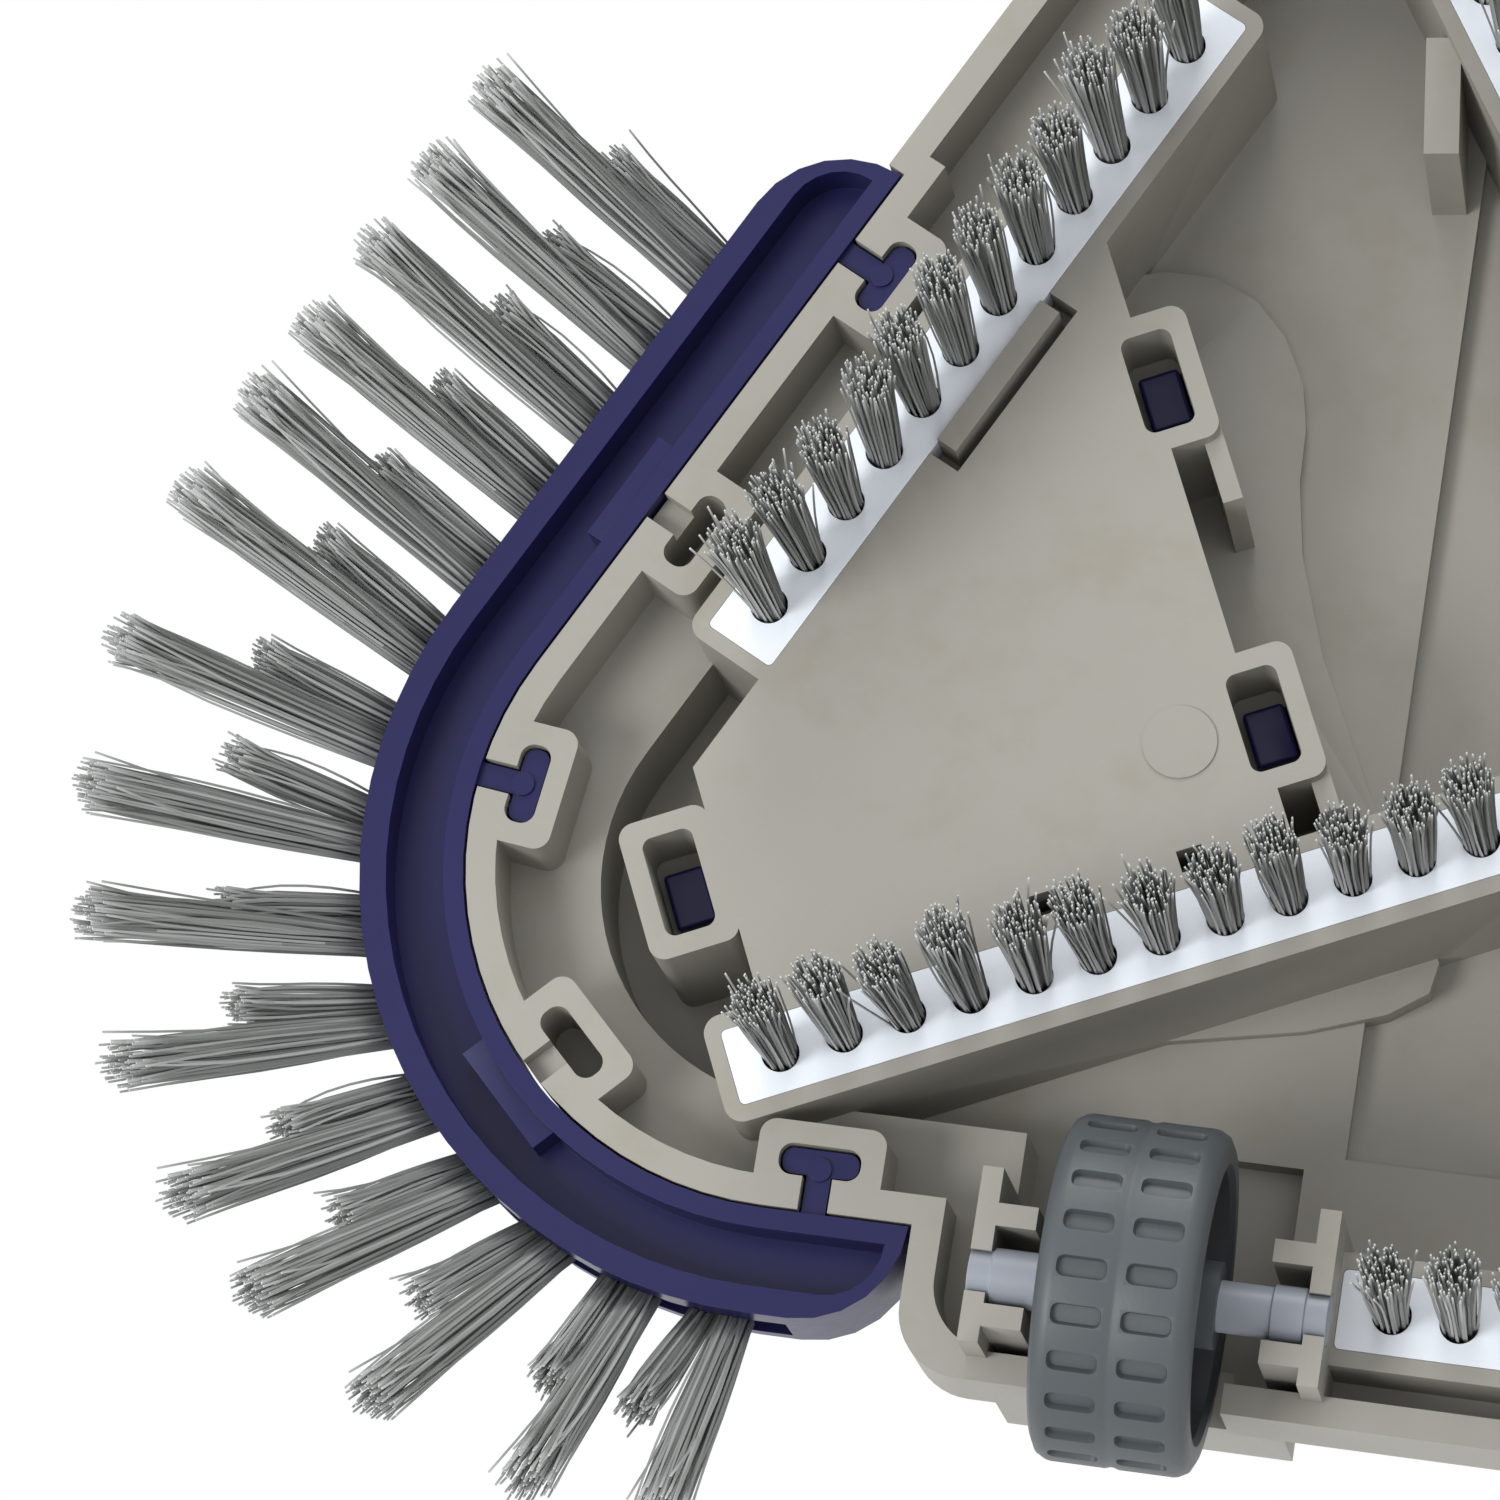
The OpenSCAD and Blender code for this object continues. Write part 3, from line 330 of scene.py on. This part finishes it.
def place_piece(name, bm, nodes, smooth=30):
    mesh = bpy.data.meshes.new(name)
    bm.to_mesh(mesh)
    bm.free()
    mesh.materials.append(finish_of(SLOT_OF[nodes[0]]))
    mesh.shade_smooth()
    mesh.set_sharp_from_angle(angle=math.radians(smooth))
    obj = bpy.data.objects.new(name, mesh)
    bpy.context.scene.collection.objects.link(obj)
    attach(obj, BODY_OF[nodes[0]])
    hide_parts(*nodes)
    return obj


def softened(node, width, segments=2):
    """A CAD node's shape with merged faces and rounded edges."""
    bm = bmesh.new()
    bm.from_mesh(frame["nodes"][node].data)
    bmesh.ops.remove_doubles(bm, verts=bm.verts, dist=1e-6)
    bmesh.ops.dissolve_limit(bm, angle_limit=math.radians(1.0), verts=bm.verts, edges=bm.edges)
    obj = place_piece(node + "_skin", bm, [node], 32)
    bevel = obj.modifiers.new("edge_round", "BEVEL")
    bevel.width = width
    bevel.segments = segments
    bevel.limit_method = "ANGLE"
    bevel.angle_limit = math.radians(32)
    bevel.use_clamp_overlap = True
    bevel.harden_normals = True
    return obj


def dress(node):
    """Gives a CAD node that keeps its own mesh the finish of its slot."""
    mesh = frame["nodes"][node].data
    mesh.materials.clear()
    mesh.materials.append(finish_of(SLOT_OF[node]))


def mirrored(bm):
    """Turns a left-hand bmesh into the right-hand one."""
    bmesh.ops.scale(bm, vec=(-1, 1, 1), verts=bm.verts)
    bmesh.ops.reverse_faces(bm, faces=bm.faces)
    return bm


# ---- filaments and tufts ----

def filament_template(radius, steps, sides=3):
    """Straight filament of unit length along +Z, cut into steps."""
    bm = bmesh.new()
    bmesh.ops.create_cone(bm, cap_ends=True, segments=sides, radius1=radius, radius2=radius * 0.8,
                          depth=1, matrix=Matrix.Translation((0, 0, 0.5)))
    sides_up = [e for e in bm.edges if abs(e.verts[0].co.z - e.verts[1].co.z) > 0.5]
    bmesh.ops.subdivide_edges(bm, edges=sides_up, cuts=steps - 1)
    mesh = bpy.data.meshes.new("filament_template")
    bm.to_mesh(mesh)
    bm.free()
    return mesh


GOLDEN_TURN = 2.39996  # angle between filaments that fills a disc evenly


def tuft_mesh(name, template, rng, length, count, root, tip, ragged, kink, stray=0.04):
    """A bundle of filaments along +Z from an oval root to a wider oval tip."""
    bm = bmesh.new()
    shade = bm.verts.layers.float.new("shade")
    along = bm.verts.layers.float.new("along")
    for k in range(count):
        r = math.sqrt((k + 0.5) / count)
        turn = k * GOLDEN_TURN + rng.uniform(-0.2, 0.2)
        spread = 1 + rng.uniform(-0.10, 0.14)
        if rng.random() < stray:
            spread += rng.uniform(0.3, 0.9)
        foot = Vector((root[0] * r * math.cos(turn), root[1] * r * math.sin(turn), 0))
        head = Vector((tip[0] * r * math.cos(turn), tip[1] * r * math.sin(turn), 0)) * spread
        high = length * (1 - ragged * rng.random() ** 2)
        bow = Vector((rng.gauss(0, kink), rng.gauss(0, kink), 0))
        curl = Vector((rng.gauss(0, kink), rng.gauss(0, kink), 0)) * 1.2
        tone = min(1, max(0, rng.gauss(0.5, 0.26)))
        before = len(bm.verts)
        bm.from_mesh(template)
        bm.verts.ensure_lookup_table()
        for v in bm.verts[before:]:
            t = v.co.z
            rise = t ** 1.25
            centre = foot.lerp(head, rise) + bow * math.sin(math.pi * t)
            centre += curl * max(0, t - 0.75) * 4
            v.co = Vector((v.co.x, v.co.y, 0)) + centre + Vector((0, 0, high * t))
            v[shade] = tone
            v[along] = t
    mesh = bpy.data.meshes.new(name)
    bm.to_mesh(mesh)
    bm.free()
    return mesh


def add_mesh(bm, mesh, matrix):
    """Adds a copy of a mesh, moved by a matrix."""
    before = len(bm.verts)
    bm.from_mesh(mesh)
    bm.verts.ensure_lookup_table()
    bmesh.ops.transform(bm, matrix=matrix, verts=bm.verts[before:])


def turned(point, z_axis, x_axis):
    """Matrix that takes +Z to z_axis and +X towards x_axis, at a point."""
    z = z_axis.normalized()
    x = (x_axis - x_axis.dot(z) * z).normalized()
    y = z.cross(x)
    m = Matrix((x, y, z)).transposed().to_4x4()
    return Matrix.Translation(point) @ m


# ---- settings ----

def length(name, default, description):
    return bpy.props.FloatProperty(name=name, description=description, default=default,
                                   min=0.0, unit="LENGTH", precision=5)


def colour(name, default, description):
    return bpy.props.FloatVectorProperty(name=name, description=description, default=default,
                                         size=3, min=0.0, max=1.0, subtype="COLOR")


class VacuumSizes(bpy.types.PropertyGroup):
    """Driving sizes of the head."""
    half_base: length("Half base", 0.1055, "From the middle to a rear corner's centre")
    rear_set: length("Rear set", 0.030, "From the hose axis back to the rear corners' centres")
    base_angle: bpy.props.FloatProperty(name="Base angle", description="Between rear edge and side",
                                        default=math.radians(62.5), subtype="ANGLE")
    bumper_outer: length("Bumper outer radius", 0.0496, "Radius of a bumper's outer wall")
    bumper_width: length("Bumper width", 0.0113, "Width of a bumper in plan")
    arm_rear: length("Rear arm", 0.0158, "Bumper's arm along the rear edge")
    arm_side: length("Side arm", 0.067, "Bumper's arm along the side")
    arm_front: length("Front arm", 0.0385, "Arms of the nose bumper")
    side_pitch: length("Side tuft pitch", 0.0104, "Between two side tufts")
    side_reach: length("Side reach", 0.027, "How far side tufts stand out")
    tuft_radius: length("Tuft radius", 0.00205, "Radius of a tuft's hole")
    tuft_pitch: length("Tuft pitch", 0.007, "Between two tufts of a strip")
    edge_round: length("Edge round", 0.0006, "Rounding of the moulded edges")


class VacuumColours(bpy.types.PropertyGroup):
    """Colours of the head's finishes."""
    shell: colour("Shell", (0.272, 0.262, 0.232), "Warm grey plastic")
    navy: colour("Navy", (0.007, 0.007, 0.062), "Bumpers and trim")
    strip: colour("Strip", (0.70, 0.74, 0.80), "White strips")
    wheel: colour("Wheel", (0.056, 0.066, 0.073), "Slate wheels")
    axle: colour("Axle", (0.24, 0.26, 0.30), "Grey axles")
    bristle_dark: colour("Bristle dark", (0.17, 0.176, 0.17), "Darkest filaments")
    bristle_light: colour("Bristle light", (0.44, 0.455, 0.445), "Lightest filaments")


# ---- operators ----

class MakeShell(bpy.types.Operator):
    """Rounds the edges of the shell and gives it its finish"""
    bl_idname = "vacuum.make_shell"
    bl_label = "Base Shell"

    def execute(self, context):
        size = context.scene.vacuum_sizes
        softened("base_shell", size.edge_round)
        return {"FINISHED"}


class MakeBumpers(bpy.types.Operator):
    """Makes the three corner bumpers"""
    bl_idname = "vacuum.make_bumpers"
    bl_label = "Bumpers"

    def execute(self, context):
        for node in ("bumper_left", "bumper_right", "bumper_front"):
            softened(node, 0.0006, 3)
        return {"FINISHED"}


class MakeRows(bpy.types.Operator):
    """Makes the white strips and their rows of tufts"""
    bl_idname = "vacuum.make_rows"
    bl_label = "Brush Strips"
    fill: bpy.props.FloatProperty(name="Fill", default=0.86, min=0.1, max=1.0,
                                  description="Share of a hole that its filaments fill")
    flare: bpy.props.FloatProperty(name="Flare", default=1.55, min=1.0, max=3.0,
                                   description="Widening of a tuft from root to tip")

    def execute(self, context):
        size = context.scene.vacuum_sizes
        rng = random.Random(11)
        template = filament_template(0.00017, 5)
        root = size.tuft_radius * self.fill
        bottom, top = (corner.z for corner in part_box("side_row_left"))
        tall = top - 0.0008 - bottom
        tufts = [tuft_mesh(f"tuft_{k}", template, rng, tall, 108, (root, root),
                           (root * self.flare, root * self.flare), 0.04, 0.00017, 0.02)
                 for k in range(8)]
        for node in [n for n in frame["nodes"] if n.endswith("_row") or "_row_" in n]:
            low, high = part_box(node)
            axis = long_axis(node)
            middle = (low + high) / 2
            strip = node.replace("_row", "_strip")
            count = round(self.span(node, axis) / size.tuft_pitch)
            bm = bmesh.new()
            for k in range(count):
                point = middle + axis * (k - (count - 1) / 2) * size.tuft_pitch
                point.z = top - 0.0004
                lean = Vector((rng.gauss(0, 0.018), rng.gauss(0, 0.018), -1))
                spin = Vector((math.cos(k * 2.1), math.sin(k * 2.1), 0))
                add_mesh(bm, rng.choice(tufts), turned(point, lean, spin))
            place_piece(node + "_tufts", bm, [node], 60)
            softened(strip, 0.0003, 2)
        return {"FINISHED"}

    def span(self, node, axis):
        """Length of a node along an axis, tuft to tuft."""
        reach = [v.co.dot(axis) for v in frame["nodes"][node].data.vertices]
        return max(reach) - min(reach)


class MakeSideBristles(bpy.types.Operator):
    """Makes the long and short side bristles round each bumper"""
    bl_idname = "vacuum.make_side_bristles"
    bl_label = "Side Bristles"

    def execute(self, context):
        size = context.scene.vacuum_sizes
        template = filament_template(0.00018, 6)
        for name, corner in corners(size).items():
            rng = random.Random(len(name))
            node = "side_bristles_" + name
            low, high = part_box(node)
            bm = self.bristles(size, corner, rng, template, low.z, high.z)
            if name == "left":
                twin = "side_bristles_right"
                place_piece(twin + "_tufts", mirrored(bm.copy()), [twin], 60)
            place_piece(node + "_tufts", bm, [node], 60)
        return {"FINISHED"}

    def bristles(self, size, corner, rng, template, floor, top):
        outer = size.bumper_outer
        arms = [a - size.bumper_width - 0.0006 for a in corner.arms]
        room = corner.turn * outer + arms[0] + arms[1]
        beside, share_short = 0.0036, 0.56
        count = int((room - 0.005 - beside) / size.side_pitch) + 1
        span = (count - 1) * size.side_pitch + beside
        first = (corner.turn * outer + arms[1] - arms[0] - span) / 2
        root_z = top - 0.003
        drop = root_z - floor - 0.0022
        run = size.side_reach - 0.0008
        tall = math.hypot(run, drop)
        long_tufts = [tuft_mesh(f"long_{k}", template, rng, tall, 104, (0.0016, 0.0019),
                                (0.0024, 0.0027), 0.06, 0.0004, 0.05) for k in range(6)]
        short_tufts = [tuft_mesh(f"short_{k}", template, rng, tall * share_short, 72,
                                 (0.0014, 0.0017), (0.0019, 0.0022), 0.08, 0.0003, 0.05)
                       for k in range(6)]
        bm = bmesh.new()
        for k in range(count):
            for up, offset, share, tufts in ((0, 0, 1, long_tufts),
                                             (0.001, beside, share_short, short_tufts)):
                s = first + k * size.side_pitch + offset
                point, angle = corner.spot(s, outer)
                point.z = root_z + up
                out = direction(angle)
                side = direction(angle + math.pi / 2)
                way = out * run * share - Vector((0, 0, drop * share))
                bent = 0 < s < corner.turn * outer
                way += side * rng.gauss(0, 0.0016 if bent else 0.0007)
                point -= out * 0.0006
                add_mesh(bm, rng.choice(tufts), turned(point, way, Vector((0, 0, 1))))
        return bm


class MakeWheels(bpy.types.Operator):
    """Makes the wheels with their pocketed treads"""
    bl_idname = "vacuum.make_wheels"
    bl_label = "Wheels"
    pockets: bpy.props.IntProperty(name="Pockets", description="Tread pockets round each half",
                                   default=23, min=8, max=60)

    def execute(self, context):
        for side in ("left", "right", "front"):
            node = "wheel_" + side
            low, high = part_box(node)
            bm = self.wheel(high.z / 2, (high.x - low.x) / 2)
            if side == "left":
                mirrored(bm)
            bmesh.ops.translate(bm, verts=bm.verts, vec=(low + high) / 2)
            piece(node + "_tread", bm, [node], 40)
        for side in ("left", "right", "front"):
            softened("axle_" + side, 0.0004, 2)
        return {"FINISHED"}

    def wheel(self, radius, reach):
        """Wheel about the X axis, hollow towards -X."""
        half = reach - 0.0006
        hub = 0.00455
        bore = 0.00272
        profile = [
            (bore, -reach), (hub, -reach), (hub, -half + 0.0026), (hub + 0.0021, -half + 0.0026),
            (hub + 0.0021, half - 0.0042), (radius - 0.0044, half - 0.0042),
            (radius - 0.0040, -half + 0.0006), (radius - 0.0034, -half), (radius - 0.0016, -half),
            (radius - 0.0006, -half + 0.0005), (radius - 0.0001, -half + 0.0014),
            (radius, -half + 0.0019), (radius, -0.0008), (radius - 0.00018, -0.0002),
            (radius - 0.00018, 0.0002), (radius, 0.0008), (radius, half - 0.0019),
            (radius - 0.0001, half - 0.0014), (radius - 0.0006, half - 0.0005),
            (radius - 0.0016, half), (hub + 0.0015, half), (hub + 0.0011, reach), (bore, reach),
        ]
        bm = bmesh.new()
        ring = [bm.verts.new((x, 0, r)) for r, x in profile]
        edges = [bm.edges.new((a, b)) for a, b in zip(ring, ring[1:] + ring[:1])]
        steps = self.pockets * 4
        bmesh.ops.spin(bm, geom=ring + edges, cent=(0, 0, 0), axis=(1, 0, 0), angle=2 * math.pi,
                       steps=steps, use_merge=True)
        bmesh.ops.remove_doubles(bm, verts=bm.verts, dist=1e-6)
        bmesh.ops.recalc_face_normals(bm, faces=bm.faces)
        self.cut_pockets(bm, radius, half, steps)
        return bm

    def cut_pockets(self, bm, radius, half, steps):
        """Sinks a round-ended pocket into every other pair of tread faces, in two like rows."""
        rows = {}
        for face in bm.faces:
            c = face.calc_center_median()
            if math.hypot(c.y, c.z) > radius - 0.0002 and 0.0012 < abs(c.x) < half - 0.0021:
                column = int(math.atan2(c.y, c.z) % (2 * math.pi) / (2 * math.pi) * steps)
                if column % 4 < 2:
                    rows.setdefault((c.x > 0, column // 4), []).append(face)
        pads = []
        for pair in rows.values():
            pads += bmesh.ops.dissolve_faces(bm, faces=pair, use_verts=False)["region"]
        bmesh.ops.inset_individual(bm, faces=pads, thickness=0.00018, depth=0.0)
        ends = [v for f in pads for v in f.verts if self.is_end(v, f)]
        bmesh.ops.bevel(bm, geom=ends, offset=0.00085, segments=4, profile=0.5, material=-1,
                        affect="VERTICES")
        pads = [f for f in bm.faces if len(f.verts) > 12]
        bmesh.ops.inset_individual(bm, faces=pads, thickness=0.00022, depth=-0.0007)

    def is_end(self, vert, face):
        """Whether a pad's vertex is one of its four outermost."""
        middle = face.calc_center_median()
        return all(abs((vert.co - middle).length) >= abs((v.co - middle).length) - 1e-5
                   for v in face.verts)


class MakeFittings(bpy.types.Operator):
    """Finishes the covers, weights, hose cuff, swivel and handle"""
    bl_idname = "vacuum.make_fittings"
    bl_label = "Fittings"

    def execute(self, context):
        for node in ("cover_left", "cover_right", "hose_cuff", "swivel_ring",
                     "handle_bracket", "handle"):
            softened(node, 0.0005, 3)
        for node in ("clip_bend", "clip_arm_left", "clip_arm_right", "handle_pin", "pin_clip"):
            softened(node, 0.00015, 2)
        for node in ("weight_left", "weight_right", "swivel_seal", "ring_screws", "bracket_screws"):
            dress(node)
        return {"FINISHED"}


# name, place, diameter, power
LIGHTS = (
    ("key_below", (-0.75, 0.55, -0.85), 0.5, 9),
    ("rim_below", (-0.2, -0.9, -0.5), 0.6, 5),
    ("key_above", (-0.7, -0.6, 1.1), 0.7, 8),
)
LIT_SPOT = Vector((-0.08, 0.08, 0.03))
CAMERA_AT = HOSE_FLOOR + Vector((0.0184, 0.2046, -0.6884))
CAMERA_RIGHT = Vector((0.9772, -0.1583, 0.1413))
CAMERA_BACK = Vector((0.1778, 0.2478, -0.9523))


class MakeStage(bpy.types.Operator):
    """Makes the floor, the lights and the camera"""
    bl_idname = "vacuum.make_stage"
    bl_label = "Stage"

    def execute(self, context):
        scene = context.scene
        self.floor()
        world = bpy.data.worlds.new("studio")
        world.use_nodes = True
        backdrop = world.node_tree.nodes["Background"]
        backdrop.inputs["Color"].default_value = (1, 1, 1, 1)
        backdrop.inputs["Strength"].default_value = 1.0
        scene.world = world
        scene.view_settings.view_transform = "Standard"
        scene.view_settings.look = "None"
        for name, at, size, power in LIGHTS:
            self.light(name, Vector(at), LIT_SPOT, size, power)
        self.camera(scene)
        return {"FINISHED"}

    def floor(self):
        bm = bmesh.new()
        bmesh.ops.create_grid(bm, x_segments=1, y_segments=1, size=3)
        mesh = bpy.data.meshes.new("floor")
        bm.to_mesh(mesh)
        bm.free()
        sh = Shader("pale_floor")
        tree = sh.tree
        cloud = sh.noise(0.25, 3.0)
        sh.set(Base_Color=sh.mix(cloud, (0.80, 0.80, 0.79), (0.84, 0.84, 0.83)), Roughness=0.7)
        under = sh.node("ShaderNodeNewGeometry", output="Backfacing")
        clear = sh.node("ShaderNodeBsdfTransparent")
        both = tree.nodes.new("ShaderNodeMixShader")
        sh.feed(both.inputs[0], under)
        tree.links.new(sh.surface.outputs[0], both.inputs[1])
        tree.links.new(clear.socket, both.inputs[2])
        tree.links.new(both.outputs[0], tree.nodes["Material Output"].inputs[0])
        mesh.materials.append(sh.material)
        floor = bpy.data.objects.new("floor", mesh)
        bpy.context.scene.collection.objects.link(floor)
        floor.visible_shadow = False
        floor.visible_diffuse = False
        floor.visible_glossy = False

    def light(self, name, at, target, size, power):
        lamp = bpy.data.lights.new(name, "AREA")
        lamp.shape = "DISK"
        lamp.size = size
        lamp.energy = power
        obj = bpy.data.objects.new(name, lamp)
        obj.matrix_world = turned(at, at - target, Vector((1, 0, 0)))
        bpy.context.scene.collection.objects.link(obj)

    def camera(self, scene):
        data = bpy.data.cameras.new("camera")
        data.sensor_width = 36
        data.lens = 168
        data.clip_start = 0.01
        data.clip_end = 10
        obj = bpy.data.objects.new("camera", data)
        obj.matrix_world = turned(CAMERA_AT, CAMERA_BACK, CAMERA_RIGHT)
        scene.collection.objects.link(obj)
        scene.camera = obj


class VACUUM_PT_panel(bpy.types.Panel):
    """Lists the steps that build the vacuum head"""
    bl_label = "Vacuum Head"
    bl_idname = "VACUUM_PT_panel"
    bl_space_type = "VIEW_3D"
    bl_region_type = "UI"
    bl_category = "Vacuum Head"

    def draw(self, context):
        column = self.layout.column()
        for operator in STEPS:
            column.operator(operator.bl_idname)
        for group in (context.scene.vacuum_sizes, context.scene.vacuum_colours):
            for key in group.__annotations__:
                column.prop(group, key)


STEPS = (MakeStage, MakeShell, MakeBumpers, MakeRows, MakeSideBristles, MakeWheels, MakeFittings)
CLASSES = (VacuumSizes, VacuumColours, *STEPS, VACUUM_PT_panel)


def register():
    for cls in CLASSES:
        bpy.utils.register_class(cls)
    bpy.types.Scene.vacuum_sizes = bpy.props.PointerProperty(type=VacuumSizes)
    bpy.types.Scene.vacuum_colours = bpy.props.PointerProperty(type=VacuumColours)


def unregister():
    del bpy.types.Scene.vacuum_colours
    del bpy.types.Scene.vacuum_sizes
    for cls in reversed(CLASSES):
        bpy.utils.unregister_class(cls)


def main():
    register()
    for step in STEPS:
        group, name = step.bl_idname.split(".")
        getattr(getattr(bpy.ops, group), name)()


if __name__ == "__main__":
    main()
